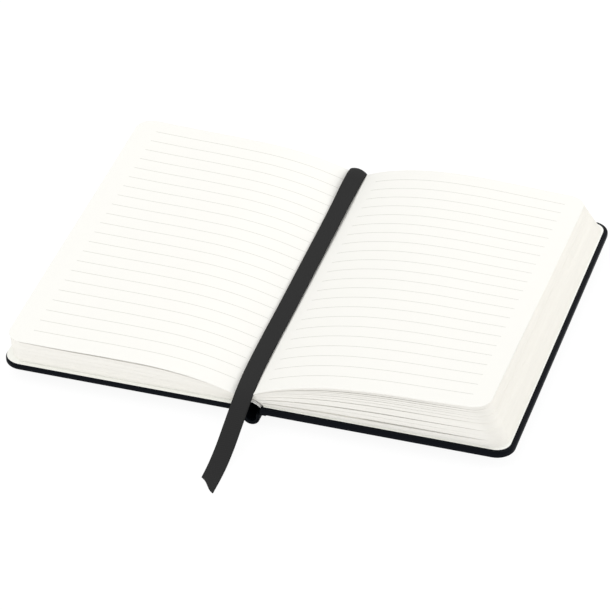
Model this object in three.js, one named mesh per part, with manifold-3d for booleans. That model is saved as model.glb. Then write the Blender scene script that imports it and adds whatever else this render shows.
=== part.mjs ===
// Pocket notebook with a hard cover, lying open with its pages up.
// Millimetres. +X runs from the spine to the rear cover's fore edge, +Y to the head of the
// pages and +Z up. The origin is under the middle of the spine, at the lowest point of the spine.
import * as THREE from 'three';
import { mergeVertices } from 'three/addons/utils/BufferGeometryUtils.js';
import Module from 'manifold-3d';

// Covers: a greyboard in a leatherette skin that is turned in over the board's edges
const COVER_LENGTH = 144;
const COVER_REACH = 89.2;
const COVER_CORNER = 6.5;
const BOARD_THICKNESS = 1.6;
const SKIN_THICKNESS = 0.3;
const TURN_IN = 12;
const TURN_IN_CORNER = 1;
const SQUARE_CORNER = 0.5;
const GLUE_GAP = 0.05;

// Spine: a soft strip that hangs as a U between the boards' inner edges
const SPINE_OPENING = 6.4;
const SPINE_DROP = 4.4;
const SPINE_SKIN_THICKNESS = 0.5;
const SPINE_STRIP_THICKNESS = 0.4;
const SPINE_GAP = 0.15;
const SPINE_STRIP_MARGIN = 1;

// Endpapers
const ENDPAPER_THICKNESS = 0.15;
const REAR_ENDPAPER_MARGIN = 1.6;
const FRONT_ENDPAPER_MARGIN = 0.4;
const SPINE_MARGIN = 0.6;

// Pages. The covers stand out past the leaves by the square at the head, foot and fore edge
const SQUARE = 2;
const LEAF_LENGTH = COVER_LENGTH - 2 * SQUARE;
const LEAF_REACH = COVER_REACH - SQUARE;
const LEAF_CORNER = 6;
const LEAF_THICKNESS = 0.15;
const GUTTER_X = -3.8;
const GUTTER_CLEARANCE = 0.2;
const SECTION_GAP = 0.12;
const PAGE_STEP = 5.5;
const PAGE_ROWS = 3;
const SHORTEST_FACET = 0.3;
const TALLEST_STACK = 40;
const CORNER_SEGMENTS = 5;
const SPINE_SEGMENTS = 12;

// Back of the sewn pages
const CLOTH_THICKNESS = 0.25;
const LINING_THICKNESS = 0.35;
const BACK_GAP = 0.35;
const CLOTH_MARGIN = 4;
const THREAD_RADIUS = 0.25;
const THREAD_MARGIN = 11;

// Ribbon marker
const RIBBON_WIDTH = 6.4;
const RIBBON_THICKNESS = 0.3;
const RIBBON_STEPS = 78;

const UNDERSIDE = SPINE_DROP;
const BOARD_BOTTOM = UNDERSIDE + SKIN_THICKNESS + GLUE_GAP;
const BOARD_TOP = BOARD_BOTTOM + BOARD_THICKNESS;
const COVER_TOP = BOARD_TOP + GLUE_GAP + SKIN_THICKNESS;
const PASTEDOWN_BOTTOM = COVER_TOP + GLUE_GAP;
const FLYLEAF_BOTTOM = PASTEDOWN_BOTTOM + ENDPAPER_THICKNESS + GLUE_GAP;
const PAGE_BASE = FLYLEAF_BOTTOM + ENDPAPER_THICKNESS + GLUE_GAP;
const BOARD_EDGE = SPINE_OPENING / 2;

// The bow of the top page on each side: distance from the gutter and height above the lowest
// leaf. lean is how much higher the head of the page lies than its middle, at the gutter
// and at the fore edge. reach is the fore edge of the lowest and of the highest leaf.
const RIGHT = {
  side: 1,
  bow: [[0, 2.45], [3, 3.95], [9, 6.55], [16, 8.75], [28, 11.15], [45, 12.45], [65, 12.45],
    [95, 12.25]],
  lean: [0.8, -2.9],
  reach: [LEAF_REACH, LEAF_REACH - 6.9],
  fold: [BOARD_EDGE + 0.4, GUTTER_X + 0.5],
};
const LEFT = {
  side: -1,
  bow: [[0, 2.45], [3, 3.55], [9, 5.35], [16, 7.05], [28, 8.85], [45, 9.65], [65, 9.85], [95, 10.45]],
  lean: [0.8, 2.3],
  reach: [LEAF_REACH, LEAF_REACH + 1],
  fold: [GUTTER_X - 0.4, GUTTER_X - 0.4],
};
const LEAN_REACH = 84;

// The backs of the sections step up from the rear board's edge to the gutter, in X and height
// above the lowest leaf
const BACK_LINE = [
  [BOARD_EDGE - 0.5, -0.5],
  [(BOARD_EDGE + GUTTER_X) / 2 + 0.3, 1.15],
  [GUTTER_X + 0.3, 1.75],
];

// Sections from the cover up, each from and to a share of the stack's height
const RIGHT_SECTIONS = [[0, 0.14], [0.17, 0.39], [0.42, 0.56], [0.58, 0.71], [0.75, 0.86], [0.88, 0.94]];
const LEFT_SECTIONS = [[0, 0.18], [0.2, 0.37], [0.39, 0.56], [0.58, 0.75], [0.77, 0.9]];

const COLOURS = {
  leatherette: 0x17191d,
  greyboard: 0x9a948a,
  paper: 0xf7f6ee,
  endpaper: 0xf3f1e8,
  cloth: 0xe6e4de,
  thread: 0xf2f0ea,
  ribbon: 0x343433,
};

const wasm = await Module();
wasm.setup();
const notebook = new THREE.Group();

function toSolid(geometry) {
  const bare = geometry.clone();
  bare.deleteAttribute('normal');
  bare.deleteAttribute('uv');
  const merged = mergeVertices(bare, 1e-5);
  return new wasm.Manifold(new wasm.Mesh({
    numProp: 3,
    vertProperties: new Float32Array(merged.attributes.position.array),
    triVerts: new Uint32Array(merged.index.array),
  }));
}

function toGeometry(solid) {
  const mesh = solid.getMesh();
  const geometry = new THREE.BufferGeometry();
  geometry.setAttribute('position', new THREE.BufferAttribute(mesh.vertProperties, 3));
  geometry.setIndex(new THREE.BufferAttribute(mesh.triVerts, 1));
  return geometry;
}

function addPiece(name, geometry, colour, roughness) {
  geometry.computeVertexNormals();
  const material = new THREE.MeshStandardMaterial({ color: colour, roughness, metalness: 0 });
  const mesh = new THREE.Mesh(geometry, material);
  mesh.name = name;
  notebook.add(mesh);
}

// A flat plate from the spine side (square corners) to the fore edge (round corners)
function plateShape(side, inner, outer, length, corner) {
  const half = length / 2;
  const shape = new THREE.Shape();
  shape.moveTo(side * inner, -half);
  shape.lineTo(side * (outer - corner), -half);
  shape.absarc(side * (outer - corner), -half + corner, corner, -Math.PI / 2, side > 0 ? 0 : -Math.PI, side < 0);
  shape.lineTo(side * outer, half - corner);
  shape.absarc(side * (outer - corner), half - corner, corner, side > 0 ? 0 : Math.PI, Math.PI / 2, side < 0);
  shape.lineTo(side * inner, half);
  shape.closePath();
  return shape;
}

function plate(side, inner, outer, length, corner, bottom, thickness) {
  const shape = plateShape(side, inner, outer, length, Math.max(corner, SQUARE_CORNER));
  const options = { depth: thickness, bevelEnabled: false, curveSegments: CORNER_SEGMENTS };
  return new THREE.ExtrudeGeometry(shape, options).translate(0, 0, bottom);
}

// A section drawn across the spine, in X and Z, made as long as the pages or covers
function alongSpine(shape, length, rows) {
  const options = { depth: length, bevelEnabled: false, steps: rows, curveSegments: SPINE_SEGMENTS };
  return new THREE.ExtrudeGeometry(shape, options).rotateX(Math.PI / 2).translate(0, length / 2, 0);
}

function buildCover(name, side, endpaperMargin) {
  const boardLength = COVER_LENGTH - 2 * (SKIN_THICKNESS + GLUE_GAP);
  const boardReach = COVER_REACH - SKIN_THICKNESS - GLUE_GAP;
  const boardCorner = COVER_CORNER - SKIN_THICKNESS - GLUE_GAP;
  const board = plate(side, BOARD_EDGE, boardReach, boardLength, boardCorner, BOARD_BOTTOM, BOARD_THICKNESS);
  addPiece(`${name}_board`, board, COLOURS.greyboard, 0.9);

  const skinInner = BOARD_EDGE + SPINE_GAP;
  const skinHeight = COVER_TOP - UNDERSIDE;
  const outside = plate(side, skinInner, COVER_REACH, COVER_LENGTH, COVER_CORNER, UNDERSIDE, skinHeight);
  const pocket = plate(side, 0, boardReach + GLUE_GAP, boardLength + 2 * GLUE_GAP, boardCorner + GLUE_GAP,
    UNDERSIDE + SKIN_THICKNESS, BOARD_THICKNESS + 2 * GLUE_GAP);
  const windowReach = COVER_REACH - TURN_IN;
  const windowLength = COVER_LENGTH - 2 * TURN_IN;
  const opening = plate(side, 0, windowReach, windowLength, TURN_IN_CORNER, UNDERSIDE + SKIN_THICKNESS,
    skinHeight);
  const skin = toSolid(outside).subtract(toSolid(pocket)).subtract(toSolid(opening));
  addPiece(`${name}_cover_skin`, toGeometry(skin), COLOURS.leatherette, 0.55);

  const endpaperLength = COVER_LENGTH - 2 * endpaperMargin;
  const endpaperReach = COVER_REACH - endpaperMargin;
  const endpaperCorner = COVER_CORNER - endpaperMargin;
  const endpaperInner = BOARD_EDGE + SPINE_MARGIN;
  addPiece(`${name}_pastedown`, plate(side, endpaperInner, endpaperReach, endpaperLength, endpaperCorner,
    PASTEDOWN_BOTTOM, ENDPAPER_THICKNESS), COLOURS.endpaper, 0.85);
  addPiece(`${name}_flyleaf`, plate(side, endpaperInner, LEAF_REACH, LEAF_LENGTH, LEAF_CORNER,
    FLYLEAF_BOTTOM, ENDPAPER_THICKNESS), COLOURS.endpaper, 0.85);
}

// A U between the boards, lying inset millimetres inside the spine's outside
function spineSolid(inset, thickness, top, length) {
  const outerRadius = BOARD_EDGE - SPINE_GAP - inset;
  const innerRadius = outerRadius - thickness;
  const centre = BOARD_EDGE - SPINE_GAP;
  const shape = new THREE.Shape();
  shape.moveTo(-outerRadius, top);
  shape.lineTo(-outerRadius, centre);
  shape.absarc(0, centre, outerRadius, Math.PI, 2 * Math.PI, false);
  shape.lineTo(outerRadius, top);
  shape.lineTo(innerRadius, top);
  shape.absarc(0, centre, innerRadius, 2 * Math.PI, Math.PI, true);
  shape.lineTo(-innerRadius, top);
  shape.closePath();
  return alongSpine(shape, length, 1);
}

function buildSpine() {
  addPiece('spine_skin', spineSolid(0, SPINE_SKIN_THICKNESS, UNDERSIDE + SKIN_THICKNESS, COVER_LENGTH),
    COLOURS.leatherette, 0.55);
  const stripInset = SPINE_SKIN_THICKNESS + GLUE_GAP;
  const stripLength = COVER_LENGTH - 2 * SPINE_STRIP_MARGIN;
  addPiece('spine_strip', spineSolid(stripInset, SPINE_STRIP_THICKNESS, UNDERSIDE, stripLength),
    COLOURS.greyboard, 0.9);
}

// Height of the top page above the surface, in straight facets PAGE_STEP wide
function bowHeight(half, distance) {
  const spline = new THREE.CubicInterpolant(half.bow.map((p) => p[0]), half.bow.map((p) => p[1]), 1);
  const facet = Math.floor(distance / PAGE_STEP);
  const low = spline.evaluate(facet * PAGE_STEP)[0];
  const high = spline.evaluate((facet + 1) * PAGE_STEP)[0];
  return PAGE_BASE + low + (high - low) * (distance / PAGE_STEP - facet);
}

function stackHeight(half, x, share) {
  const distance = half.side * (x - GUTTER_X);
  return PAGE_BASE + share * (bowHeight(half, distance) - PAGE_BASE);
}

function alongFan(ends, share) {
  return ends[0] + (ends[1] - ends[0]) * share;
}

// Raises the head and lowers the foot, or the other way round, as the stack leans
function leanPages(geometry, half) {
  const place = geometry.attributes.position;
  for (let i = 0; i < place.count; i += 1) {
    const distance = half.side * (place.getX(i) - GUTTER_X);
    const top = bowHeight(half, distance);
    const lean = half.lean[0] + (half.lean[1] - half.lean[0]) * distance / LEAN_REACH;
    const share = (place.getZ(i) - PAGE_BASE) / (top - PAGE_BASE);
    place.setZ(i, place.getZ(i) + share * lean * place.getY(i) / (LEAF_LENGTH / 2));
  }
  return geometry;
}

// Leaves that lie together, from one share of the stack's height to another. bottomAt and topAt
// give the height at x. The fore edge is round-cornered, the fold is square.
function pageSolid(half, inner, outer, bottomAt, topAt) {
  const xs = [inner];
  const first = Math.ceil((half.side * (inner - GUTTER_X) + SHORTEST_FACET) / PAGE_STEP);
  for (let facet = first; facet * PAGE_STEP < half.side * (outer - GUTTER_X) - SHORTEST_FACET; facet += 1) {
    xs.push(GUTTER_X + half.side * facet * PAGE_STEP);
  }
  xs.push(outer);
  const below = xs.map((x) => new THREE.Vector2(x, bottomAt(x)));
  const above = xs.map((x) => new THREE.Vector2(x, topAt(x))).reverse();
  const profile = toSolid(alongSpine(new THREE.Shape([...below, ...above]), LEAF_LENGTH, PAGE_ROWS));
  const corners = plate(half.side, half.side * inner - LEAF_CORNER, half.side * outer, LEAF_LENGTH,
    LEAF_CORNER, UNDERSIDE, TALLEST_STACK);
  return leanPages(toGeometry(profile.intersect(toSolid(corners))), half);
}

function buildPages(name, half, sections) {
  sections.forEach(([low, high], index) => {
    const middle = (low + high) / 2;
    const bottomAt = (x) => stackHeight(half, x, low) + SECTION_GAP / 2;
    const topAt = (x) => stackHeight(half, x, high) - SECTION_GAP / 2;
    const solid = pageSolid(half, alongFan(half.fold, middle), half.side * alongFan(half.reach, middle),
      bottomAt, topAt);
    addPiece(`${name}_section_${index + 1}`, solid, COLOURS.paper, 0.85);
  });
  const leaf = pageSolid(half, GUTTER_X + half.side * GUTTER_CLEARANCE, half.side * half.reach[1],
    (x) => stackHeight(half, x, 1) - LEAF_THICKNESS, (x) => stackHeight(half, x, 1));
  addPiece(`${name}_top_leaf`, leaf, COLOURS.paper, 0.85);
}

// A thin strip glued to the backs of the sections, where they step up over the open spine
function backStrip(drop, thickness, length) {
  const above = BACK_LINE.map(([x, z]) => new THREE.Vector2(x, PAGE_BASE + z - drop));
  const below = BACK_LINE.map(([x, z]) => new THREE.Vector2(x, PAGE_BASE + z - drop - thickness)).reverse();
  return alongSpine(new THREE.Shape([...above, ...below]), length, 1);
}

function buildBack() {
  const clothLength = LEAF_LENGTH - 2 * CLOTH_MARGIN;
  addPiece('spine_cloth', backStrip(0, CLOTH_THICKNESS, clothLength), COLOURS.cloth, 0.95);
  addPiece('spine_lining', backStrip(CLOTH_THICKNESS + BACK_GAP, LINING_THICKNESS, LEAF_LENGTH),
    COLOURS.cloth, 0.85);
  const rise = RIGHT.lean[0] / (LEAF_LENGTH / 2);
  const threadLength = LEAF_LENGTH - 2 * THREAD_MARGIN;
  const thread = new THREE.CylinderGeometry(THREAD_RADIUS, THREAD_RADIUS, threadLength, 6)
    .rotateX(Math.atan(rise))
    .translate(GUTTER_X, 0, bowHeight(RIGHT, 0) + 2 * THREAD_RADIUS);
  addPiece('sewing_thread', thread, COLOURS.thread, 0.7);
}

// The ribbon comes out at the head of the spine, turns over the head and lies along the gutter.
// Each point is an X, a share of half the leaf's length, a distance past that share and a height
// above the lowest leaf.
const RIBBON_ON_PAGES = [
  [-4.8, 1, 0.7, 1.85],
  [-4.8, 1, 1.8, 2.55],
  [-4.8, 1, 2.2, 3.95],
  [-4.8, 1, 1.2, 5.35],
  [-4.8, 1, -2.5, 5.95],
  [-4.8, 1, -10, 5.65],
  [-4.6, 4 / 7, 0, 5.15],
  [-4.4, 2 / 7, 0, 4.85],
  [-4.2, 0, 0, 4.65],
  [-4.0, -2 / 7, 0, 4.45],
  [-3.9, -4 / 7, 0, 4.25],
  [-3.5, -1, 12, 4.15],
  [-2.8, -1, 0, 3.85],
];
// Its tail droops from the foot of the leaves to the surface: an X, a distance past the foot and
// a height above the surface.
const RIBBON_TAIL = [
  [-2.5, 7, 9.6],
  [-2.5, 14, 7.0],
  [-2.6, 21, 4.1],
  [-2.9, 28, 1.6],
  [-3.2, 34, 0.4],
  [-3.3, 38, 0.2],
];

function buildRibbon() {
  const halfLeaf = LEAF_LENGTH / 2;
  const route = new THREE.CatmullRomCurve3([
    ...RIBBON_ON_PAGES.map(([x, share, past, z]) => (
      new THREE.Vector3(x, share * halfLeaf + past, PAGE_BASE + z))),
    ...RIBBON_TAIL.map(([x, past, z]) => new THREE.Vector3(x, -halfLeaf - past, z)),
  ], false, 'centripetal');
  const wide = RIBBON_WIDTH / 2;
  const thick = RIBBON_THICKNESS / 2;
  const section = new THREE.Shape([
    new THREE.Vector2(wide, 0),
    new THREE.Vector2(wide - thick, thick),
    new THREE.Vector2(-wide + thick, thick),
    new THREE.Vector2(-wide, 0),
    new THREE.Vector2(-wide + thick, -thick),
    new THREE.Vector2(wide - thick, -thick),
  ]);
  const options = { steps: RIBBON_STEPS, bevelEnabled: false, extrudePath: route };
  addPiece('ribbon_marker', new THREE.ExtrudeGeometry(section, options), COLOURS.ribbon, 0.8);
}

buildCover('rear', 1, REAR_ENDPAPER_MARGIN);
buildCover('front', -1, FRONT_ENDPAPER_MARGIN);
buildSpine();
buildPages('right', RIGHT, RIGHT_SECTIONS);
buildPages('left', LEFT, LEFT_SECTIONS);
buildBack();
buildRibbon();

export default notebook;
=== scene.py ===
"""Pocket notebook with a hard cover, lying open near its middle.

Lengths in the settings are metres.
"""
import math
import random

import bmesh
import bpy
from bpy.props import (
    FloatProperty,
    FloatVectorProperty,
    IntProperty,
    PointerProperty,
)
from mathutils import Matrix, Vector


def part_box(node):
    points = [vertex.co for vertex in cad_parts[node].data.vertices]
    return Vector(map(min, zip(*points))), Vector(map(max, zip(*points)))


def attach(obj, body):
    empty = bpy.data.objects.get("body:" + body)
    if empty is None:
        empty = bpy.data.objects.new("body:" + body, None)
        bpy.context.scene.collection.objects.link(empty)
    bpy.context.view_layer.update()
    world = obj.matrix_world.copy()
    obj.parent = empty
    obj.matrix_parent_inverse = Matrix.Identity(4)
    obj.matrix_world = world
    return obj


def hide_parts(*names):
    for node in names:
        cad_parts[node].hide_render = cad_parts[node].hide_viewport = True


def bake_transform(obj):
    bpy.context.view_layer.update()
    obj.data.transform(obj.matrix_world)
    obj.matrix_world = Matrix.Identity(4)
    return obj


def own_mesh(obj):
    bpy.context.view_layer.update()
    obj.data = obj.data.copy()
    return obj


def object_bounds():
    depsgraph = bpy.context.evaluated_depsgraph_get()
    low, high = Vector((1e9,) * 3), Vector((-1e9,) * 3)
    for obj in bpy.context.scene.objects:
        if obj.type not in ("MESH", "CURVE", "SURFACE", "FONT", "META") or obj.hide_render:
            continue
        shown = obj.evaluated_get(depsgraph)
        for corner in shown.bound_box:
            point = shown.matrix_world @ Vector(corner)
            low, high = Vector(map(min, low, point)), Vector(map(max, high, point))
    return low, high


bl_info = {
    "name": "Pocket Notebook",
    "version": (1, 0, 0),
    "blender": (4, 5, 0),
    "location": "View3D > Sidebar > Notebook",
    "description": "Builds an open hard-cover pocket notebook around its packed frame",
    "category": "Object",
}

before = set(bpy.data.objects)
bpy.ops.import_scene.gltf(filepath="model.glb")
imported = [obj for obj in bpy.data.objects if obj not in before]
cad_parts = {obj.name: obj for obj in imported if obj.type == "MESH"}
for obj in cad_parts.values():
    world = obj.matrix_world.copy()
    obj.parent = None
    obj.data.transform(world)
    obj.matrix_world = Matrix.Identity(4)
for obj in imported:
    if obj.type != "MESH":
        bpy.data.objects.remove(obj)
CAD_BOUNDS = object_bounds()
MM = 0.001

# The frame's own sizes, and the air between parts that lie on each other
HINGE_EDGE, _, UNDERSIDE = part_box("rear_cover_skin")[0]
COVER_REACH, HALF_COVER, COVER_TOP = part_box("rear_cover_skin")[1]
SPINE_RADIUS, _, SPINE_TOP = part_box("spine_skin")[1]
HALF_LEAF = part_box("right_top_leaf")[1][1]
LYING_GAP = 0.05 * MM
SKIN_OVERLAP = 0.05 * MM
PAGE_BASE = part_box("rear_flyleaf")[1][2] + LYING_GAP

# Each half of the pages, in millimetres. The bow is distance from the gutter and height above the
# covers' underside; lean is how far the head stands above the middle, at the gutter and at the fore
# edge; reach, fold and lines are places across the spine, lowest leaf first. Keep is the share of its
# height that the stack has when the book is closed.
GUTTER_X = -3.8 * MM
LEAN_REACH = 84 * MM
RIGHT = {
    "name": "right",
    "side": 1,
    "bow": [(0, 5.2), (3, 6.7), (9, 9.3), (16, 11.5), (28, 13.9), (45, 15.2), (65, 15.2), (95, 15.0)],
    "lean": (0.8, -2.9),
    "reach": (87.2, 80.3),
    "fold": (3.6, -3.3),
    "lines": (3.5, 73.6),
    "keep": 0.38,
}
LEFT = {
    "name": "left",
    "side": -1,
    "bow": [(0, 5.2), (3, 6.3), (9, 8.1), (16, 9.8), (28, 11.6), (45, 12.4), (65, 12.6), (95, 13.2)],
    "lean": (0.8, 2.3),
    "reach": (87.2, 88.2),
    "fold": (-4.2, -4.2),
    "lines": (-80.2, -8.4),
    "keep": 0.475,
}

# Bundles of leaves in each section: from and to, as shares of the stack's height, how far the
# gap above opens at its widest, and how far along the page that is
RIGHT_BUNDLES = [
    [(0.0, 0.165, 0.05, 0.4)],
    [(0.165, 0.28, 0.007, 0.5), (0.28, 0.405, 0.036, 0.28)],
    [(0.405, 0.49, 0.006, 0.4), (0.49, 0.585, 0.022, 0.5)],
    [(0.585, 0.67, 0.008, 0.6), (0.67, 0.75, 0.014, 0.45)],
    [(0.75, 0.8, 0.008, 0.5), (0.8, 0.86, 0.016, 0.6)],
    [(0.86, 0.918, 0.024, 0.4), (0.918, 0.955, 0.012, 0.6), (0.955, 0.986, 0.0, 0.5)],
]
LEFT_BUNDLES = [
    [(0.0, 0.19, 0.006, 0.5)],
    [(0.19, 0.38, 0.006, 0.5)],
    [(0.38, 0.57, 0.004, 0.5)],
    [(0.57, 0.765, 0.006, 0.5)],
    [(0.765, 0.988, 0.08, 0.55)],
]
MAIN_GAP = 0.011  # a gap wider than this gets painted shade on its recess wall
MAIN_GAP_DEPTH = 3 * MM
GAP_DEPTH = 1.2 * MM

# How unevenly the leaves lie. The edge of a single leaf is too fine to show, so about two share a step.
LEAVES_PER_STEP = 2.2
BUNDLE_SLACK = 0.3 * MM
REACH_SLACK = 0.05 * MM
TRIM_SLACK = 0.08 * MM
TONE_DRIFT = 0.25
TONE_SPREAD = (-0.6, 1.6)

# The ribbon's route: x, y and height above the covers' underside, in millimetres
RIBBON_ROUTE = [
    (-4.8, 70.7, 4.6), (-4.8, 71.8, 5.3), (-4.8, 72.2, 6.7), (-4.8, 71.2, 8.1),
    (-4.8, 67.5, 8.7), (-4.8, 60.0, 8.4), (-4.6, 40.0, 7.9), (-4.4, 20.0, 7.6),
    (-4.2, 0.0, 7.4), (-4.0, -20.0, 7.2), (-3.9, -40.0, 7.0), (-3.5, -58.0, 6.9),
    (-2.8, -70.0, 6.6), (-2.5, -77.0, 5.2), (-2.5, -84.0, 2.6), (-2.6, -91.0, -0.3),
    (-2.9, -98.0, -2.8), (-3.2, -104.0, -4.0), (-3.3, -108.0, -4.2),
]


def linear(hex_colour):
    """An sRGB hex colour such as "17191d" as linear red, green and blue."""
    parts = [int(hex_colour[i:i + 2], 16) / 255 for i in (0, 2, 4)]
    return tuple(c / 12.92 if c <= 0.04045 else ((c + 0.055) / 1.055) ** 2.4 for c in parts)


def colour_setting(name, description, hex_colour):
    return FloatVectorProperty(
        name=name, description=description, default=linear(hex_colour), subtype="COLOR", min=0, max=1
    )


def length_setting(name, description, millimetres):
    return FloatProperty(
        name=name, description=description, default=millimetres * MM, unit="LENGTH", precision=5
    )


class CoverSettings(bpy.types.PropertyGroup):
    edge_radius: length_setting("Edge radius", "Rounding of the leatherette over the board's edge", 0.75)
    corner_radius: length_setting("Corner radius", "Radius of the covers' outer corners", 6.5)
    turn_in: length_setting("Turn-in", "Leatherette folded over onto the inside of the board", 12)
    skin: length_setting("Skin thickness", "Thickness of the leatherette", 0.3)
    grain: length_setting("Grain size", "Width of one pebble of the embossed grain", 0.55)
    colour: colour_setting("Leatherette", "Black polyurethane leatherette", "080b11")
    board_colour: colour_setting("Board", "Grey binder's board", "9a948a")
    endpaper_colour: colour_setting("Endpaper", "Ivory endpaper", "f0f0ea")


class PageSettings(bpy.types.PropertyGroup):
    leaf_thickness: length_setting("Leaf thickness", "Thickness of one leaf", 0.11)
    corner_radius: length_setting("Corner radius", "Radius of the pages' outer corners", 6)
    line_spacing: length_setting("Line spacing", "Distance from one ruled line to the next", 6)
    line_width: length_setting("Line width", "Width of a ruled line", 0.22)
    first_line: length_setting("First line", "Height of the first ruled line above the page's middle", 63.4)
    line_count: IntProperty(name="Lines", description="Ruled lines on each page", default=22, min=1)
    paper_colour: colour_setting("Paper", "Ivory-white writing paper", "f1f0eb")
    edge_colour: colour_setting("Page edges", "Cut edges of the leaves, a little greyer", "f1efe9")
    # Painted shade: this dark colour stands for the shadow deep in the gaps between bundles of leaves, not
    # for a paper of its own
    gap_shade_colour: colour_setting("Gaps", "Paper deep between leaves, which holds little light", "9c9388")
    line_colour: colour_setting("Lines", "Pale grey ruling", "c8c7bf")
    seed: IntProperty(name="Seed", description="Seed of the leaves' small unevenness", default=7)


class RibbonSettings(bpy.types.PropertyGroup):
    width: length_setting("Width", "Width of the ribbon", 6.4)
    thickness: length_setting("Thickness", "Thickness of the ribbon", 0.26)
    colour: colour_setting("Ribbon", "Charcoal woven ribbon", "292929")


class StageSettings(bpy.types.PropertyGroup):
    azimuth: FloatProperty(
        name="Azimuth", description="Camera's turn round the object",
        default=math.radians(17.26), subtype="ANGLE",
    )
    elevation: FloatProperty(
        name="Elevation", description="Camera's height over the horizon",
        default=math.radians(34.82), subtype="ANGLE",
    )
    distance: FloatProperty(
        name="Distance", description="From the camera to the object", default=1.2161, unit="LENGTH"
    )
    lens: FloatProperty(
        name="Lens", description="Focal length on a 36 mm sensor", default=206.5, unit="CAMERA"
    )
    floor_colour: colour_setting("Floor", "Matt white floor, lit from below", "5f5f5f")
    floor_glow: FloatProperty(
        name="Floor glow", description="Light that comes through the floor", default=0.92, min=0
    )


# Meshes

def link_mesh(name, vertices, faces, material, smooth_angle=35):
    """A new object from vertices and faces, with its faces pointing out and smooth up to an angle."""
    mesh = bpy.data.meshes.new(name)
    mesh.from_pydata([tuple(v) for v in vertices], [], faces)
    work = bmesh.new()
    work.from_mesh(mesh)
    bmesh.ops.recalc_face_normals(work, faces=work.faces)
    work.to_mesh(mesh)
    work.free()
    mesh.materials.append(material)
    mesh.shade_smooth()
    mesh.set_sharp_from_angle(angle=math.radians(smooth_angle))
    made = bpy.data.objects.new(name, mesh)
    bpy.context.scene.collection.objects.link(made)
    return made


def ring_walls(rings, width):
    """The faces between closed rings of vertices that follow one another."""
    faces = []
    for a in range(0, (rings - 1) * width, width):
        for i in range(width):
            j = (i + 1) % width
            faces.append((a + i, a + j, a + width + j, a + width + i))
    return faces


def ring_caps(rings, width):
    """The faces that close the first and the last ring, whose second half runs back beside the first."""
    faces = []
    for a in (0, (rings - 1) * width):
        for i in range(width // 2 - 1):
            faces.append((a + i, a + i + 1, a + width - 2 - i, a + width - 1 - i))
    return faces


def prism_along_y(name, profile, half_length, rows, material):
    """A closed solid with one outline in X and Z, running from foot to head."""
    vertices = []
    for row in range(rows + 1):
        y = -half_length + 2 * half_length * row / rows
        vertices += [(x, y, z) for x, z in profile]
    count = len(profile)
    faces = ring_walls(rows + 1, count)
    faces.append(tuple(range(count)))
    faces.append(tuple(range(rows * count, len(vertices))))
    return link_mesh(name, vertices, faces, material)


def arc(centre, radius, start, end, steps):
    """Points on a circle, from one angle to another in degrees."""
    angles = [math.radians(start + (end - start) * i / steps) for i in range(steps + 1)]
    return [(centre[0] + radius * math.cos(a), centre[1] + radius * math.sin(a)) for a in angles]


# Materials

def per_metre(millimetres):
    """A pattern's scale, from the real width of one of its marks."""
    return 1 / (millimetres * MM)


def shaded(colour, share):
    """A colour made darker or lighter by a share, as a socket takes it."""
    return tuple(share * c for c in colour) + (1,)


def set_node(tree, node, settings=None, links=None):
    """Gives a shader node its settings and the sockets that feed it."""
    for name, value in (settings or {}).items():
        if isinstance(name, int) or name in node.inputs:
            node.inputs[name].default_value = value
        else:
            setattr(node, name, value)
    for name, source in (links or {}).items():
        tree.links.new(source, node.inputs[name])
    return node


def add_node(tree, kind, settings=None, links=None):
    """A new shader node with its settings and the sockets that feed it."""
    return set_node(tree, tree.nodes.new(kind), settings, links)


def new_material(name):
    """A new material, its nodes, its shader and the place on the object that its patterns follow."""
    material = bpy.data.materials.new(name)
    material.use_nodes = True
    tree = material.node_tree
    place = add_node(tree, "ShaderNodeTexCoord").outputs["Object"]
    return material, tree, tree.nodes["Principled BSDF"], place


def fibre_relief(tree, place, strength, depth):
    """Fibres standing out of paper. Real ones are 0.02 mm wide: these are coarse enough to show."""
    fibres = add_node(tree, "ShaderNodeTexNoise", {"Scale": per_metre(0.4), "Detail": 3.0},
                      {"Vector": place})
    relief = add_node(tree, "ShaderNodeBump", {"Strength": strength, "Distance": depth},
                      {"Height": fibres.outputs["Fac"]})
    return relief.outputs[0]


def embossed_leatherette(settings):
    """Polyurethane leatherette, embossed: a fine pebble grain that breaks up a satin gloss."""
    material, tree, shader, place = new_material("embossed_leatherette")
    pebbles = add_node(tree, "ShaderNodeTexVoronoi", {"Scale": 1 / settings.grain, "feature": "F1"},
                       {"Vector": place})
    creases = add_node(tree, "ShaderNodeTexNoise", {"Scale": 0.25 / settings.grain, "Detail": 6.0},
                       {"Vector": place})
    grain = add_node(tree, "ShaderNodeMath", {"operation": "ADD"},
                     {0: pebbles.outputs["Distance"], 1: creases.outputs["Fac"]})
    relief = add_node(tree, "ShaderNodeBump", {"Strength": 0.35, "Distance": 0.06 * MM},
                      {"Height": grain.outputs[0]})
    # Handling leaves the gloss uneven, in patches about as wide as a fingertip
    wear = add_node(tree, "ShaderNodeTexNoise", {"Scale": per_metre(16.667), "Detail": 3.0},
                    {"Vector": place})
    gloss = add_node(tree, "ShaderNodeMapRange", {"To Min": 0.42, "To Max": 0.6},
                     {"Value": wear.outputs["Fac"]})
    tone = add_node(tree, "ShaderNodeMix", {"data_type": "RGBA", 6: shaded(settings.colour, 1.25),
                                            7: shaded(settings.colour, 0.7)},
                    {"Factor": pebbles.outputs["Distance"]})
    set_node(tree, shader, {"Specular IOR Level": 0.05},
             {"Base Color": tone.outputs[2], "Roughness": gloss.outputs[0], "Normal": relief.outputs[0]})
    return material


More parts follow.
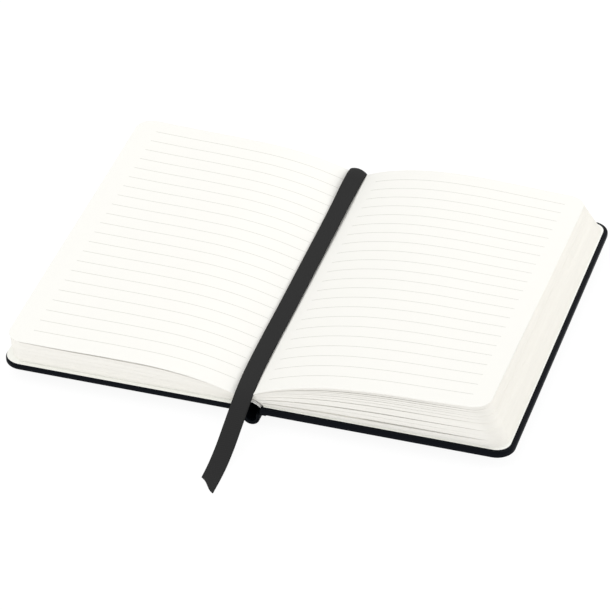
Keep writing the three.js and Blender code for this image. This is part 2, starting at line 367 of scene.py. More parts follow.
def uncoated_paper(name, colour, ruling=None):
    """Uncoated wood-free paper, calendered: matt, with a faint cloud of fibres. Ruled if asked."""
    material, tree, shader, place = new_material(name)
    cloud = add_node(tree, "ShaderNodeTexNoise", {"Scale": per_metre(5.5556), "Detail": 5.0},
                     {"Vector": place})
    tone = add_node(tree, "ShaderNodeMix", {"data_type": "RGBA", 6: shaded(colour, 1),
                                            7: shaded(colour, 0.985)}, {"Factor": cloud.outputs["Fac"]})
    surface = tone.outputs[2]
    if ruling is not None:
        surface = ruled(tree, place, surface, ruling)
    set_node(tree, shader, {"Roughness": 0.8, "Specular IOR Level": 0.25},
             {"Base Color": surface, "Normal": fibre_relief(tree, place, 0.12, 0.02 * MM)})
    return material


def ruled(tree, place, surface, pages):
    """Thin printed lines across the page, from the gutter margin to the outer margin."""
    parts = add_node(tree, "ShaderNodeSeparateXYZ", None, {0: place})
    spacing = pages.line_spacing
    rows = add_node(tree, "ShaderNodeMath", {"operation": "MULTIPLY_ADD", 1: -1 / spacing,
                                             2: pages.first_line / spacing + 0.5}, {0: parts.outputs["Y"]})
    half_width = 0.5 * pages.line_width / spacing
    ink = rows.outputs[0]
    for step, number in (("FRACT", 0), ("SUBTRACT", 0.5), ("ABSOLUTE", 0), ("LESS_THAN", half_width)):
        ink = add_node(tree, "ShaderNodeMath", {"operation": step, 1: number}, {0: ink}).outputs[0]
    middle_row = pages.line_count / 2
    from_middle = add_node(tree, "ShaderNodeMath", {"operation": "COMPARE", 1: middle_row, 2: middle_row},
                           {0: rows.outputs[0]})
    spans = []
    for half in (RIGHT, LEFT):
        start, end = (MM * x for x in half["lines"])
        spans.append(add_node(tree, "ShaderNodeMath",
                              {"operation": "COMPARE", 1: (start + end) / 2, 2: (end - start) / 2},
                              {0: parts.outputs["X"]}))
    mask = add_node(tree, "ShaderNodeMath", {"operation": "ADD"},
                    {0: spans[0].outputs[0], 1: spans[1].outputs[0]})
    for limit in (from_middle.outputs[0], ink):
        mask = add_node(tree, "ShaderNodeMath", {"operation": "MULTIPLY"}, {0: mask.outputs[0], 1: limit})
    printed = add_node(tree, "ShaderNodeMix", {"data_type": "RGBA", 7: shaded(pages.line_colour, 1)},
                       {"Factor": mask.outputs[0], 6: surface})
    return printed.outputs[2]


def woven_ribbon(settings):
    """Viscose ribbon, woven: fine cross ribs with a firm edge, matt with a soft sheen.

    Its threads are about 0.2 mm apart, too fine to show, so they are drawn three times as coarse.
    """
    material, tree, shader, place = new_material("woven_ribbon")
    wave_at_one = 2 * math.pi / 20  # metres from wave to wave at a scale of 1
    threads = []
    for direction, spacing in (("Y", 0.748 * MM), ("X", 0.60415 * MM)):
        threads.append(add_node(tree, "ShaderNodeTexWave",
                                {"Scale": wave_at_one / spacing, "bands_direction": direction},
                                {"Vector": place}).outputs["Fac"])
    weave = add_node(tree, "ShaderNodeMath", {"operation": "ADD"}, {0: threads[0], 1: threads[1]})
    relief = add_node(tree, "ShaderNodeBump", {"Strength": 0.25, "Distance": 0.04 * MM},
                      {"Height": weave.outputs[0]})
    tone = add_node(tree, "ShaderNodeMix", {"data_type": "RGBA", 6: shaded(settings.colour, 0.93),
                                            7: shaded(settings.colour, 1.05)}, {"Factor": threads[0]})
    set_node(tree, shader, {"Roughness": 0.75, "Specular IOR Level": 0.1},
             {"Base Color": tone.outputs[2], "Normal": relief.outputs[0]})
    return material


def plain_fibre(name, colour, fibre, depth):
    """Matt fibrous stuff, such as board, gauze or thread: a rough surface with visible fibres."""
    material, tree, shader, place = new_material(name)
    fibres = add_node(tree, "ShaderNodeTexNoise", {"Scale": per_metre(fibre), "Detail": 6.0},
                      {"Vector": place})
    tone = add_node(tree, "ShaderNodeMix", {"data_type": "RGBA", 6: shaded(colour, 0.88),
                                            7: shaded(colour, 1)}, {"Factor": fibres.outputs["Fac"]})
    relief = add_node(tree, "ShaderNodeBump", {"Strength": 0.5, "Distance": depth},
                      {"Height": fibres.outputs["Fac"]})
    set_node(tree, shader, {"Roughness": 0.9, "Specular IOR Level": 0.15},
             {"Base Color": tone.outputs[2], "Normal": relief.outputs[0]})
    return material


def trimmed_page_edges(name, colour, darkest):
    """Guillotined page edges: hundreds of leaf ends, each a shade of its own, fibrous and matt."""
    material, tree, shader, place = new_material(name)
    leaf = add_node(tree, "ShaderNodeAttribute", {"attribute_name": "leaf_tone"})
    # A shade wanders over 17 mm along the edge and over 1 mm up the stack
    stretch = add_node(tree, "ShaderNodeMapping",
                       {"Scale": (per_metre(16.667), per_metre(16.667), per_metre(1.1111))},
                       {"Vector": place})
    wander = add_node(tree, "ShaderNodeTexNoise", {"Scale": 1.0, "Detail": 3.0},
                      {"Vector": stretch.outputs["Vector"]})
    level = add_node(tree, "ShaderNodeMath", {"operation": "MULTIPLY"},
                     {0: leaf.outputs["Fac"], 1: wander.outputs["Fac"]})
    tone = add_node(tree, "ShaderNodeMix", {"data_type": "RGBA", 6: shaded(colour, darkest),
                                            7: shaded(colour, 1)}, {"Factor": level.outputs[0]})
    set_node(tree, shader, {"Roughness": 0.9, "Specular IOR Level": 0.15},
             {"Base Color": tone.outputs[2], "Normal": fibre_relief(tree, place, 0.3, 0.03 * MM)})
    return material


# The stack of pages

def bow_height(half, distance):
    """Height of the top page at a distance from the gutter, smoothly through the half's bow points."""
    points = [(MM * d, MM * h) for d, h in half["bow"]]
    distance = max(points[0][0], min(distance, points[-1][0]))
    i = 0
    while i < len(points) - 2 and distance > points[i + 1][0]:
        i += 1

    def span_slope(k):
        return (points[k + 1][1] - points[k][1]) / (points[k + 1][0] - points[k][0])

    def slope(k):
        if k in (0, len(points) - 1):
            return span_slope(min(k, len(points) - 2))
        before = points[k][0] - points[k - 1][0]
        after = points[k + 1][0] - points[k][0]
        return (span_slope(k - 1) * after + span_slope(k) * before) / (before + after)

    width = points[i + 1][0] - points[i][0]
    t = (distance - points[i][0]) / width
    low = points[i][1] * (1 + 2 * t) * (1 - t) ** 2 + slope(i) * width * t * (1 - t) ** 2
    high = points[i + 1][1] * t * t * (3 - 2 * t) + slope(i + 1) * width * t * t * (t - 1)
    return UNDERSIDE + low + high


def in_stack(half, distance, y, share):
    """The point in the stack at a distance from the gutter, a place along the page and a share of its
    height.
    """
    top = bow_height(half, distance)
    lean = MM * (half["lean"][0] + (half["lean"][1] - half["lean"][0]) * distance / LEAN_REACH)
    z = PAGE_BASE + share * (top - PAGE_BASE + lean * y / HALF_LEAF)
    return (GUTTER_X + half["side"] * distance, y, z)


def fan(half, key, share):
    """Where the fold or the fore edge of the leaf at a share of the height lies, from the gutter."""
    low, high = half[key]
    at = MM * (low + (high - low) * share)
    x = half["side"] * at if key == "reach" else at
    return half["side"] * (x - GUTTER_X)


def leaf_outline(inner, outer, half_length, corner, steps, corner_steps=6):
    """Stations from the fold to the fore edge: each a distance and half the page's length there."""
    crowding = 1.5  # stations stand closer together near the fold
    straight = outer - corner
    stations = []
    for i in range(steps):
        t = (i / steps) ** crowding
        stations.append((inner + (straight - inner) * t, half_length))
    for i in range(corner_steps + 1):
        a = math.radians(90 * i / corner_steps)
        stations.append((straight + corner * math.sin(a), half_length - corner + corner * math.cos(a)))
    return stations


def bundle_gap(distance, widest, peak):
    """How far a gap between two bundles opens: closed at the fold and at the fore edge."""
    fullness = 0.6
    t = max(0.0, min(1.0, distance / LEAN_REACH))
    return widest * math.sin(math.pi * t ** (math.log(0.5) / math.log(peak))) ** fullness


def layered_bundles(name, half, bundles, settings, materials, generator):
    """Bundles of leaves, each leaf's edge a step of its own. Gaps between bundles are recessed, with
    painted shade on their walls.
    """
    layers = []
    tone = 0.5
    for bundle in bundles:
        low, high, widest, _ = bundle
        thickness = (high - low) * (bow_height(half, 45 * MM) - PAGE_BASE)
        leaves = max(2, round(thickness / (LEAVES_PER_STEP * settings.leaf_thickness)))
        step = generator.uniform(0.0, BUNDLE_SLACK)
        for leaf in range(leaves):
            share = low + (high - low) * (leaf + 0.5) / leaves
            tone = (1 - TONE_DRIFT) * tone + TONE_DRIFT * generator.uniform(*TONE_SPREAD)
            layers.append({
                "bundle": bundle,
                "from": leaf / leaves,
                "to": (leaf + 1) / leaves,
                "deep": False,
                "tone": max(0.0, min(1.0, tone)),
                "trim": generator.uniform(0.0, TRIM_SLACK),
                "reach": fan(half, "reach", share) - step - generator.uniform(0.0, REACH_SLACK),
                "fold": fan(half, "fold", share),
            })
        if widest == 0:
            continue
        # Painted shade: the recess takes the darkest tone, and a wide gap's wall the dark gap colour
        depth = MAIN_GAP_DEPTH if widest > MAIN_GAP else GAP_DEPTH
        layers.append({
            "bundle": bundle,
            "from": 1.0,
            "to": None,
            "deep": widest > MAIN_GAP,
            "tone": 0.0,
            "trim": depth,
            "reach": fan(half, "reach", high) - depth,
            "fold": fan(half, "fold", high) + 0.4 * MM,
        })

    def share_at(bundle, t, distance):
        low, high, widest, peak = bundle
        if t is None:
            return high
        return low + (high - bundle_gap(distance, widest, peak) - low) * t

    vertices = []
    for layer in layers:
        stations = leaf_outline(layer["fold"], layer["reach"], HALF_LEAF - layer["trim"],
                                settings.corner_radius, 26)
        for t in (layer["from"], layer["to"]):
            for sign in (-1, 1):
                for distance, extent in stations[::-sign]:
                    share = share_at(layer["bundle"], t, distance)
                    vertices.append(in_stack(half, distance, sign * extent, share))
    rings = 2 * len(layers)
    width = len(vertices) // rings
    caps = ring_caps(rings, width)
    page, edge, deep = range(3)
    kinds = []
    tones = []
    for number in range(rings - 1):
        layer = layers[number // 2]
        # A wide gap's recess wall gets the painted shade material
        kinds += [deep if layer["deep"] and number % 2 == 0 else edge] * width
        tones += [layer["tone"]] * width
    kinds += [page] * len(caps)
    tones += [1.0] * len(caps)
    made = link_mesh(name, vertices, ring_walls(rings, width) + caps, materials[page], 30)
    made.data.materials.append(materials[edge])
    made.data.materials.append(materials[deep])
    for face, kind in zip(made.data.polygons, kinds):
        face.material_index = kind
    shades = made.data.attributes.new("leaf_tone", "FLOAT", "FACE")
    shades.data.foreach_set("value", tones)
    return made


def top_leaf(name, half, settings, material):
    """The leaf on top of a half's stack, as a thin closed sheet that waves a little away from the fold."""
    root = 0.25 * MM
    wave = 0.08 * MM
    wave_along = 17 * MM
    wave_across = 23 * MM
    stiff_reach = 40 * MM
    rows = 18
    stations = leaf_outline(root, fan(half, "reach", 1.0), HALF_LEAF, settings.corner_radius, 44, 8)
    vertices = []
    for drop in (settings.leaf_thickness, 0.0):
        for distance, extent in stations:
            for row in range(rows + 1):
                x, y, z = in_stack(half, distance, extent * (2 * row / rows - 1), 1.0)
                ripple = wave * math.sin(y / wave_along + distance / wave_across)
                vertices.append((x, y, z + ripple * min(1, distance / stiff_reach) - drop))
    faces = []
    wide = rows + 1
    size = len(stations) * wide
    for i in range(len(stations) - 1):
        for a in range(i * wide, i * wide + rows):
            faces.append((a, a + 1, a + wide + 1, a + wide))
            b = a + size
            faces.append((b, b + wide, b + wide + 1, b + 1))
    last = len(stations) - 1
    rim = list(range(rows))
    rim += [i * wide + rows for i in range(last)]
    rim += [last * wide + row for row in range(rows, 0, -1)]
    rim += [i * wide for i in range(last, 0, -1)]
    for i, a in enumerate(rim):
        b = rim[(i + 1) % len(rim)]
        faces.append((a, b, b + size, a + size))
    return link_mesh(name, vertices, faces, material, 50)


def flatten(piece):
    """Gives the piece a mesh of its own."""
    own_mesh(piece)


# Covers

def cover_outline(side, inset, settings):
    """The cover's outline from above, moved in by inset: from the hinge round the fore edge and back."""
    sharpest = 0.5 * MM
    corner = max(settings.corner_radius - inset, sharpest)
    across = COVER_REACH - inset - corner
    along = HALF_COVER - inset - corner
    points = [(HINGE_EDGE, -along - corner)]
    points += arc((across, -along), corner, -90, 0, 10)
    points += arc((across, along), corner, 0, 90, 10)
    points.append((HINGE_EDGE, along + corner))
    return [(side * x, y) for x, y in points]


def cover_profile(settings):
    """Inset and height round the leatherette's wall: under the board, round its edge, and turned in."""
    cut = 0.15 * MM
    round_edge = settings.edge_radius
    skin = settings.skin
    low = UNDERSIDE
    high = COVER_TOP
    outside = [(settings.turn_in, low)]
    outside += [(round_edge + x, z) for x, z in arc((0, low + round_edge), round_edge, 270, 180, 6)]
    outside += [(round_edge + x, z) for x, z in arc((0, high - round_edge), round_edge, 180, 90, 6)]
    outside.append((settings.turn_in - cut, high))
    inside = [
        (settings.turn_in, high - cut),
        (settings.turn_in, high - skin),
        (skin, high - skin),
        (skin, low + skin),
        (settings.turn_in, low + skin),
    ]
    return outside + inside


def cover_shell(name, side, settings, material):
    profile = cover_profile(settings)
    vertices = []
    for inset, z in profile:
        vertices += [(x, y, z) for x, y in cover_outline(side, inset, settings)]
    width = len(vertices) // len(profile)
    last = len(profile) - 1
    total = len(vertices)
    faces = []
    for level in range(last):
        for i in range(width - 1):
            a = level * width + i
            faces.append((a, a + 1, a + width + 1, a + width))
    faces.append(tuple(range(width)))
    faces.append(tuple(range(last * width, total)))
    faces.append(tuple(range(0, total, width)))
    faces.append(tuple(range(width - 1, total, width)))
    faces.append((0, width - 1, total - 1, last * width))
    return link_mesh(name, vertices, faces, material, 40)


def edge_lip(name, side, low, high, material):
    """A thin skin turned round the board's spine edge and its two ends there."""
    air = 0.02 * MM
    near = min(abs(low[0]), abs(high[0]))
    face = near - air
    skin = near - 0.1 * MM
    past = HINGE_EDGE - 0.01 * MM
    end = high[1] + air
    cap = HALF_COVER - SKIN_OVERLAP
    bottom = low[2] - 0.2 * MM
    outline = [(skin, -cap), (past, -cap), (past, -end), (face, -end),
               (face, end), (past, end), (past, cap), (skin, cap)]
    vertices = [(side * x, y, z) for z in (bottom, COVER_TOP) for x, y in outline]
    count = len(outline)
    faces = [(i, (i + 1) % count, count + (i + 1) % count, count + i) for i in range(count)]
    faces += [tuple(range(count - 1, -1, -1)), tuple(range(count, 2 * count))]
    return link_mesh(name, vertices, faces, material)


def flat_sheet(name, side, inner, outer, half_length, corner, low, high, material):
    """A flat glued sheet with rounded outer corners, its edges slightly softened."""
    soft = 0.04 * MM
    vertices = []
    for inset, z in ((soft, low), (0, low + soft), (0, high - soft), (soft, high)):
        stations = leaf_outline(inner + inset, outer - inset, half_length - inset, corner, 12, 8)
        vertices += [(side * d, -h, z) for d, h in stations]
        vertices += [(side * d, h, z) for d, h in reversed(stations)]
    width = len(vertices) // 4
    return link_mesh(name, vertices, ring_walls(4, width) + ring_caps(4, width), material, 40)


def inner_folds(name, half, material, generator):
    """The folds of the inner sections, which fill the stack near the spine when the book is closed."""
    inner = fan(half, "fold", 0.0) + 0.3 * MM
    outer = 42 * MM
    highest = UNDERSIDE + 7.42 * MM - PAGE_BASE
    lowest = 0.3 * MM
    under_bow = 0.86
    air = 0.75 * MM
    leaves = 26
    stations = 24
    vertices = []
    for leaf in range(leaves):
        trim = generator.uniform(0.5, 0.8) * MM
        for t in (leaf / leaves, (leaf + 1) / leaves):
            for sign in (-1, 1):
                for step in range(stations + 1)[::-sign]:
                    distance = inner + (outer - inner) * step / stations
                    room = under_bow * (bow_height(half, distance) - PAGE_BASE) - air
                    top = max(lowest, min(highest, room))
                    vertices.append((GUTTER_X + half["side"] * distance, sign * (HALF_LEAF - trim),
                                     PAGE_BASE + 0.02 * MM + t * top))
    rings = 2 * leaves
    width = 2 * (stations + 1)
    return link_mesh(name, vertices, ring_walls(rings, width) + ring_caps(rings, width), material, 30)


# The spine

def spine_u(name, stations, top, material):
    """A U between the boards. Each station is a place along the spine, an outer and an inner radius."""
    vertices = []
    for y, outer, inner in stations:
        ring = [(-outer, top)]
        ring += arc((0, SPINE_RADIUS), outer, 180, 360, 24)
        ring += [(outer, top), (inner, top)]
        ring += arc((0, SPINE_RADIUS), inner, 360, 180, 24)
        ring.append((-inner, top))
        vertices += [(x, y, z) for x, z in ring]
    rings = len(stations)
    width = len(vertices) // rings
    return link_mesh(name, vertices, ring_walls(rings, width) + ring_caps(rings, width), material, 45)


def along_curve(points, thickness, steps):
    """A strip's outline from its centre line: one side out, the other side back."""
    line = []
    for (x0, z0), (x1, z1) in zip(points, points[1:]):
        line += [(x0 + (x1 - x0) * i / steps, z0 + (z1 - z0) * i / steps) for i in range(steps)]
    line.append(points[-1])
    left = []
    right = []
    for i, (x, z) in enumerate(line):
        before = line[max(i - 1, 0)]
        after = line[min(i + 1, len(line) - 1)]
        run = Vector((after[0] - before[0], after[1] - before[1])).normalized()
        left.append((x - run.y * thickness / 2, z + run.x * thickness / 2))
        right.append((x + run.y * thickness / 2, z - run.x * thickness / 2))
    return left + right[::-1]


# Ribbon and thread

def smooth_route(points, per_span):
    """Points along a centripetal Catmull-Rom curve through the given ones."""
    ends = [2 * points[0] - points[1]] + points + [2 * points[-1] - points[-2]]
    line = []
    for a, b, c, d in zip(ends, ends[1:], ends[2:], ends[3:]):
        t = [0.0]
        for start, end in ((a, b), (b, c), (c, d)):
            t.append(t[-1] + math.sqrt((end - start).length))
        for i in range(per_span):
            u = t[1] + (t[2] - t[1]) * i / per_span
            ab = a.lerp(b, (u - t[0]) / (t[1] - t[0]))
            bc = b.lerp(c, (u - t[1]) / (t[2] - t[1]))
            cd = c.lerp(d, (u - t[2]) / (t[3] - t[2]))
            abc = ab.lerp(bc, (u - t[0]) / (t[2] - t[0]))
            bcd = bc.lerp(cd, (u - t[1]) / (t[3] - t[1]))
            line.append(abc.lerp(bcd, (u - t[1]) / (t[2] - t[1])))
    line.append(points[-1].copy())
    return line


def route_lengths(line):
    """How far along the line each of its points is."""
    lengths = [0.0]
    for a, b in zip(line, line[1:]):
        lengths.append(lengths[-1] + (b - a).length)
    return lengths


def along_route(line, lengths, distance):
    """The point at a distance along the line, and the direction there. It runs on past the end."""
    i = 0
    while i < len(line) - 2 and distance > lengths[i + 1]:
        i += 1
    span = lengths[i + 1] - lengths[i]
    direction = (line[i + 1] - line[i]).normalized()
    return line[i].lerp(line[i + 1], (distance - lengths[i]) / span), direction


def ribbon_strip(name, line, settings, material):
    """A woven strip along the line, cut off aslant at its end."""
    lengths = route_lengths(line)
    total = lengths[-1]
    slant = 3.3 * MM
    slant_bend = 0.45 * MM
    slant_onset = 9
    head_reach = 11 * MM
    roll_middle = 12 * MM
    roll_reach = 14 * MM
    across = 12
    rows = 210
    vertices = []
    for row in range(rows + 1):
        start = total * row / rows
        for face in (1, -1):
            for i in range(across + 1):
                step = i if face > 0 else across - i
                u = 2 * step / across - 1
                cut = slant * u + slant_bend * math.sin(math.pi * u)
                along = start + cut * (start / total) ** slant_onset
                point, run = along_route(line, lengths, along)
                wide = Vector((1, 0, 0))
                wide = (wide - run * wide.dot(run)).normalized()
                up = run.cross(wide)
                head = math.exp(-(start / head_reach) ** 2)
                rolled = math.exp(-((start - roll_middle) / roll_reach) ** 2)
                cup = (-0.1 - 0.9 * head) * MM * u * u - 0.9 * MM * rolled * u
                thick = settings.thickness / 2 * math.sqrt(max(0.0, 1 - u ** 10)) * face
                vertices.append(point + wide * u * settings.width / 2 + up * (cup + thick))
    width = 2 * (across + 1)
    faces = ring_walls(rows + 1, width) + ring_caps(rows + 1, width)
    made = link_mesh(name, vertices, faces, material, 60)
    work = bmesh.new()
    work.from_mesh(made.data)
    bmesh.ops.remove_doubles(work, verts=work.verts, dist=1e-7)
    work.to_mesh(made.data)
    work.free()
    return made


def tube(vertices, faces, line, radius):
    """Adds a closed tube along a line, thinner at its ends, to the lists of vertices and faces."""
    sides = 8
    end_share = 0.45
    start = len(vertices)
    last = len(line) - 1
    for i, point in enumerate(line):
        run = (line[min(i + 1, last)] - line[max(i - 1, 0)]).normalized()
        side = run.cross(Vector((1, 0, 0))).normalized()
        up = side.cross(run)
        end = end_share if i in (0, last) else 1.0
        for k in range(sides):
            a = 2 * math.pi * k / sides
            vertices.append(point + (side * math.cos(a) + up * math.sin(a)) * radius * end)
    ends = [tuple(range(sides)), tuple(range(last * sides, len(line) * sides))]
    for face in ring_walls(len(line), sides) + ends:
        faces.append(tuple(start + corner for corner in face))


# Pieces and the frame

def give(node, material):
    """Puts a material on a piece of the frame whose shape is already right."""
    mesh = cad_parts[node].data
    mesh.materials.clear()
    mesh.materials.append(material)


def stand_for(piece, body, slot, *nodes):
    """Moves a piece with its body and lets it stand for the frame's own solids, if it has any."""
    if nodes:
        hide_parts(*nodes)
    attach(piece, body)


# Operators

class NOTEBOOK_OT_stage(bpy.types.Operator):
    """Sets up the camera, soft lights and floor"""
    bl_idname = "notebook.stage"
    bl_label = "Camera, Lights and Floor"

    def execute(self, context):
        settings = context.scene.notebook_stage
        target = Vector((-1.55, -6.23, 4.4)) * MM
        flat = math.cos(settings.elevation)
        back = Vector((math.sin(settings.azimuth) * flat, -math.cos(settings.azimuth) * flat,
                       math.sin(settings.elevation)))
        data = bpy.data.cameras.new("camera")
        data.lens = settings.lens
        data.sensor_width = 36
        data.clip_start = 0.01
        camera = bpy.data.objects.new("camera", data)
        camera.location = target + back * settings.distance
        camera.rotation_euler = back.to_track_quat("Z", "Y").to_euler()
        context.scene.collection.objects.link(camera)
        context.scene.camera = camera

        box_size = 1.0
        soft_boxes = [
            ("window_light", (-0.7, -0.5, 0.9), 3.6),
            ("front_light", (0.25, -1.2, 0.45), 2.4),
            ("side_light", (1.1, 0.65, 0.4), 7.8),
            ("back_light", (-0.2, 1.0, 0.8), 2.2),
        ]
        for name, place, watts in soft_boxes:
            light = bpy.data.lights.new(name, "AREA")
            light.shape = "SQUARE"
            light.size = box_size
            light.energy = watts
            lamp = bpy.data.objects.new(name, light)
            lamp.location = place
            lamp.rotation_euler = Vector(place).to_track_quat("Z", "Y").to_euler()
            context.scene.collection.objects.link(lamp)

        world = bpy.data.worlds.new("soft_white_room")
        world.use_nodes = True
        set_node(world.node_tree, world.node_tree.nodes["Background"],
                 {"Color": (1, 1, 1, 1), "Strength": 0.78})
        context.scene.world = world
        context.scene.view_settings.view_transform = "Standard"

        # Backlit matt acrylic: its even glow leaves only a faint shadow under the covers
        material = bpy.data.materials.new("backlit_matt_acrylic")
        material.use_nodes = True
        tree = material.node_tree
        set_node(tree, tree.nodes["Principled BSDF"],
                 {"Base Color": shaded(settings.floor_colour, 1), "Roughness": 1.0,
                  "Specular IOR Level": 0.0, "Emission Color": (1, 1, 1, 1),
                  "Emission Strength": settings.floor_glow})
        reach = 6.0
        level = CAD_BOUNDS[0][2] - 0.1 * MM
        corners = [(x * reach, y * reach, level) for x, y in ((-1, -1), (1, -1), (1, 1), (-1, 1))]
        floor = link_mesh("floor", corners, [(0, 1, 2, 3)], material)
        return {"FINISHED"}


class NOTEBOOK_OT_ribbon(bpy.types.Operator):
    """Lays the woven ribbon marker along the gutter"""
    bl_idname = "notebook.ribbon"
    bl_label = "Ribbon Marker"

    def execute(self, context):
        settings = context.scene.notebook_ribbon
        points = [Vector((x * MM, y * MM, z * MM + UNDERSIDE)) for x, y, z in RIBBON_ROUTE]
        line = smooth_route(points, 12)
        ribbon = ribbon_strip("ribbon", line, settings, woven_ribbon(settings))
        stand_for(ribbon, "right_top_pages", "ribbon", "ribbon_marker")
        return {"FINISHED"}


class NOTEBOOK_OT_covers(bpy.types.Operator):
    """Makes both leatherette covers over their boards"""
    bl_idname = "notebook.covers"
    bl_label = "Covers"

    def execute(self, context):
        settings = context.scene.notebook_covers
        leatherette = embossed_leatherette(settings)
        board = plain_fibre("pressed_greyboard", settings.board_colour, 1.1111, 0.08 * MM)
        for name, side in (("rear", 1), ("front", -1)):
            shell = cover_shell(f"{name}_leatherette", side, settings, leatherette)
            stand_for(shell, f"{name}_half", "leatherette", f"{name}_cover_skin")
            give(f"{name}_board", board)
            lip = edge_lip(f"{name}_edge_leatherette", side, *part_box(f"{name}_board"), leatherette)
            stand_for(lip, f"{name}_half", "leatherette")
        return {"FINISHED"}


class NOTEBOOK_OT_spine(bpy.types.Operator):
    """Makes the soft spine, its strip, its turned-in ends and its joints with the covers"""
    bl_idname = "notebook.spine"
    bl_label = "Spine"

    def execute(self, context):
        settings = context.scene.notebook_covers
        leatherette = bpy.data.materials["embossed_leatherette"]
        board = bpy.data.materials["pressed_greyboard"]
        radius = SPINE_RADIUS
        wall = 0.5 * MM
        soft = 0.12 * MM
        end = HALF_COVER
        stations = [
            (-end, radius - soft, radius - wall + soft),
            (-end + soft, radius, radius - wall),
            (0, radius, radius - wall),
            (end - soft, radius, radius - wall),
            (end, radius - soft, radius - wall + soft),
        ]
        hull = spine_u("spine_leatherette", stations, SPINE_TOP, leatherette)
        stand_for(hull, "spine", "leatherette", "spine_skin")
        strip_outer, strip_end, strip_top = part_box("spine_strip")[1]
        strip_inner = strip_outer - 0.4 * MM
        lowered = 1.2 * MM
        stations = [(y, strip_outer, strip_inner) for y in (-strip_end, 0, strip_end)]
        strip = spine_u("spine_strip_card", stations, strip_top - lowered, board)
        stand_for(strip, "spine", "greyboard", "spine_strip")
        pieces = [hull, strip]
        thin = strip_inner - 0.05 * MM
        turned = thin - 0.3 * MM
        # The turned-in leatherette: places along the spine, with its outer and inner radius there
        places = [
            (end - 0.05 * MM, strip_outer - soft, turned + soft),
            (end - 0.2 * MM, strip_outer, turned),
            (strip_end + 0.05 * MM, strip_outer, turned),
            (strip_end + 0.04 * MM, thin, turned),
            (end - settings.turn_in, thin, turned),
        ]
        for name, way in (("foot", -1), ("head", 1)):
            stations = [(way * y, outer, inner) for y, outer, inner in places]
            turn = spine_u(f"spine_turn_in_{name}", stations, strip_top, leatherette)
            stand_for(turn, "spine", "leatherette")
            pieces.append(turn)
        for piece in pieces:
            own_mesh(piece)

        # A joint runs up from the spine's wall and over onto the inside of the cover
        low = UNDERSIDE
        skin = 0.2 * MM
        bend = [(radius - 0.25 * MM, low - 1.0 * MM), (radius - 0.25 * MM, low - 0.3 * MM),
                (radius - 0.1 * MM, low + 0.05 * MM), (radius + 0.25 * MM, low + 0.15 * MM),
                (5.2 * MM, low + 0.15 * MM)]
        for name, side, body in (("rear", 1, "rear_half"), ("front", -1, "front_half")):
            profile = [(side * x, z) for x, z in along_curve(bend, skin, 8)]
            joint = prism_along_y(f"{name}_joint_leatherette", profile, HALF_COVER - SKIN_OVERLAP, 4,
                                  leatherette)
            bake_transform(joint)
        return {"FINISHED"}


class NOTEBOOK_OT_back(bpy.types.Operator):
    """Lines the pages' backs over the open spine"""
    bl_idname = "notebook.back"
    bl_label = "Cloth and Lining"

    def execute(self, context):
        gauze = plain_fibre("woven_binding_gauze", linear("f0eeea"), 0.71429, 0.12 * MM)
        lining = uncoated_paper("crepe_lining_paper", linear("f2f1ed"))
        pieces = (
            ("spine_cloth", "back_cloth", "binding_cloth", 0.25 * MM, gauze),
            ("spine_lining", "back_lining", "spine_lining", 0.35 * MM, lining),
        )
        for node, name, slot, thickness, material in pieces:
            low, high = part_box(node)
            rise = high[2] - low[2] - thickness
            foot = low[2] + thickness / 2
            bend = [(high[0], foot), (high[0] * 0.5, foot + 0.45 * rise), (0, foot + 0.73 * rise),
                    (low[0] * 0.5, foot + 0.9 * rise), (low[0], high[2] - thickness / 2)]
            if node == "spine_lining":
                bend.insert(0, (HINGE_EDGE + 0.45 * MM, COVER_TOP + LYING_GAP + thickness / 2))
            half_length = HALF_LEAF - 0.3 * MM
            piece = prism_along_y(name, along_curve(bend, thickness, 4), half_length, 12, material)
            stand_for(piece, "spine", slot, node)
            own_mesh(piece)
        return {"FINISHED"}


class NOTEBOOK_OT_endpapers(bpy.types.Operator):
    """Glues the endpapers to the covers and lays the free flyleaves on them"""
    bl_idname = "notebook.endpapers"
    bl_label = "Endpapers"

    def execute(self, context):
        covers = context.scene.notebook_covers
        pages = context.scene.notebook_pages
        paper = uncoated_paper("smooth_endpaper", covers.endpaper_colour)
        for name, side in (("rear", 1), ("front", -1)):
            for node in ("pastedown", "flyleaf"):
                low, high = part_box(f"{name}_{node}")
                margin = HALF_COVER - high[1]
                corner = covers.corner_radius - margin if node == "pastedown" else pages.corner_radius
                inner, outer = sorted((abs(low[0]), abs(high[0])))
                sheet = flat_sheet(f"{name}_{node}_paper", side, inner, outer, high[1], corner,
                                   low[2], high[2], paper)
                stand_for(sheet, f"{name}_half", "endpaper", f"{name}_{node}")
        return {"FINISHED"}


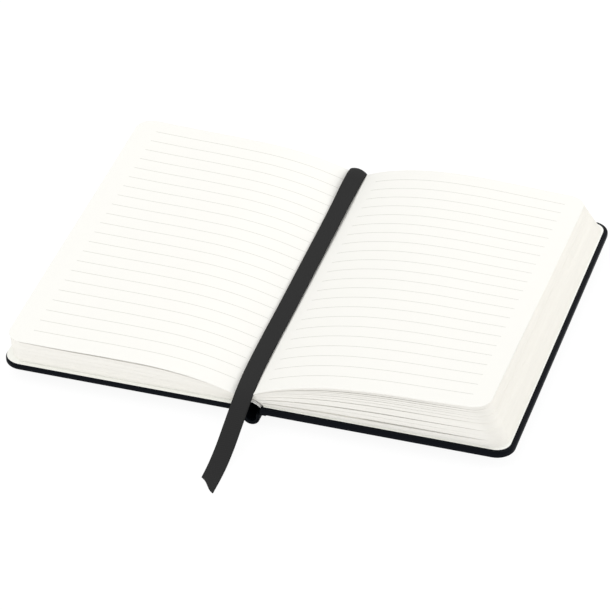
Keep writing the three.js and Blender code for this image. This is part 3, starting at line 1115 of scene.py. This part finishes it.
class NOTEBOOK_OT_pages(bpy.types.Operator):
    """Stacks the sections of leaves on both covers and lays the top leaves on them"""
    bl_idname = "notebook.pages"
    bl_label = "Pages"

    def execute(self, context):
        settings = context.scene.notebook_pages
        generator = random.Random(settings.seed)
        ruled_paper = uncoated_paper("ruled_writing_paper", settings.paper_colour, settings)
        edges = trimmed_page_edges("trimmed_page_edges", settings.edge_colour, darkest=0.94)
        # Painted shade in the wide gaps between bundles: a recess wall there takes 0.8 of the dark gap
        # colour
        painted_gap_shade = trimmed_page_edges("painted_shade_between_leaves", settings.gap_shade_colour, darkest=0.8)
        right_bodies = ["rear_half"] * 2 + ["right_middle_pages"] * 2 + ["right_top_pages"] * 2
        halves = ((RIGHT, RIGHT_BUNDLES, right_bodies), (LEFT, LEFT_BUNDLES, ["front_half"] * 5))
        for half, sections, bodies in halves:
            for number, (bundles, body) in enumerate(zip(sections, bodies), 1):
                name = f"{half['name']}_section_{number}"
                section = layered_bundles(f"{name}_leaves", half, bundles, settings,
                                          (ruled_paper, edges, painted_gap_shade), generator)
                stand_for(section, body, "paper", name)
                flatten(section)
            body = "turning_leaf" if half is RIGHT else "front_half"
            leaf = top_leaf(f"{half['name']}_top_sheet", half, settings, ruled_paper)
            stand_for(leaf, body, "paper", f"{half['name']}_top_leaf")
            flatten(leaf)
            folds = inner_folds(f"{half['name']}_inner_folds", half, edges, generator)
            stand_for(folds, bodies[0], "paper")
        return {"FINISHED"}


class NOTEBOOK_OT_sewing(bpy.types.Operator):
    """Sews the middle section with a row of long stitches in the gutter"""
    bl_idname = "notebook.sewing"
    bl_label = "Sewing"

    def execute(self, context):
        low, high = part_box("sewing_thread")
        radius = (high[0] - low[0]) / 2
        stitches = 5
        points = 16
        hidden = 0.08
        dip = 0.45 * MM
        pitch = (high[1] - low[1]) / stitches
        slope = (high[2] - low[2] - 2 * radius) / (high[1] - low[1])
        vertices = []
        faces = []
        for stitch in range(stitches):
            line = []
            for i in range(points + 1):
                t = i / points
                y = low[1] + pitch * (stitch + hidden + (1 - 2 * hidden) * t)
                rise = low[2] + radius + slope * (y - low[1])
                line.append(Vector((GUTTER_X, y, rise - dip * (2 * t - 1) ** 8)))
            tube(vertices, faces, line, radius * 0.8)
        linen = plain_fibre("waxed_linen_thread", linear("f2f0ea"), 0.33333, 0.1 * MM)
        thread = link_mesh("waxed_stitches", vertices, faces, linen, 60)
        stand_for(thread, "right_top_pages", "thread", "sewing_thread")
        flatten(thread)
        return {"FINISHED"}


OPERATORS = (
    NOTEBOOK_OT_stage,
    NOTEBOOK_OT_ribbon,
    NOTEBOOK_OT_covers,
    NOTEBOOK_OT_spine,
    NOTEBOOK_OT_back,
    NOTEBOOK_OT_endpapers,
    NOTEBOOK_OT_pages,
    NOTEBOOK_OT_sewing,
)


class NOTEBOOK_PT_panel(bpy.types.Panel):
    """Lists the notebook's pieces in the sidebar"""
    bl_idname = "NOTEBOOK_PT_panel"
    bl_label = "Notebook"
    bl_space_type = "VIEW_3D"
    bl_region_type = "UI"
    bl_category = "Notebook"

    def draw(self, context):
        for operator in OPERATORS:
            self.layout.operator(operator.bl_idname)


SETTINGS = {
    "notebook_covers": CoverSettings,
    "notebook_pages": PageSettings,
    "notebook_ribbon": RibbonSettings,
    "notebook_stage": StageSettings,
}


def register():
    for kind in (*SETTINGS.values(), *OPERATORS, NOTEBOOK_PT_panel):
        bpy.utils.register_class(kind)
    for name, kind in SETTINGS.items():
        setattr(bpy.types.Scene, name, PointerProperty(type=kind))


def unregister():
    for name in SETTINGS:
        delattr(bpy.types.Scene, name)
    for kind in reversed((*SETTINGS.values(), *OPERATORS, NOTEBOOK_PT_panel)):
        bpy.utils.unregister_class(kind)


def main():
    register()
    bpy.ops.notebook.stage()
    bpy.ops.notebook.ribbon()
    bpy.ops.notebook.covers()
    bpy.ops.notebook.spine()
    bpy.ops.notebook.back()
    bpy.ops.notebook.endpapers()
    bpy.ops.notebook.pages()
    bpy.ops.notebook.sewing()


if __name__ == "__main__":
    main()
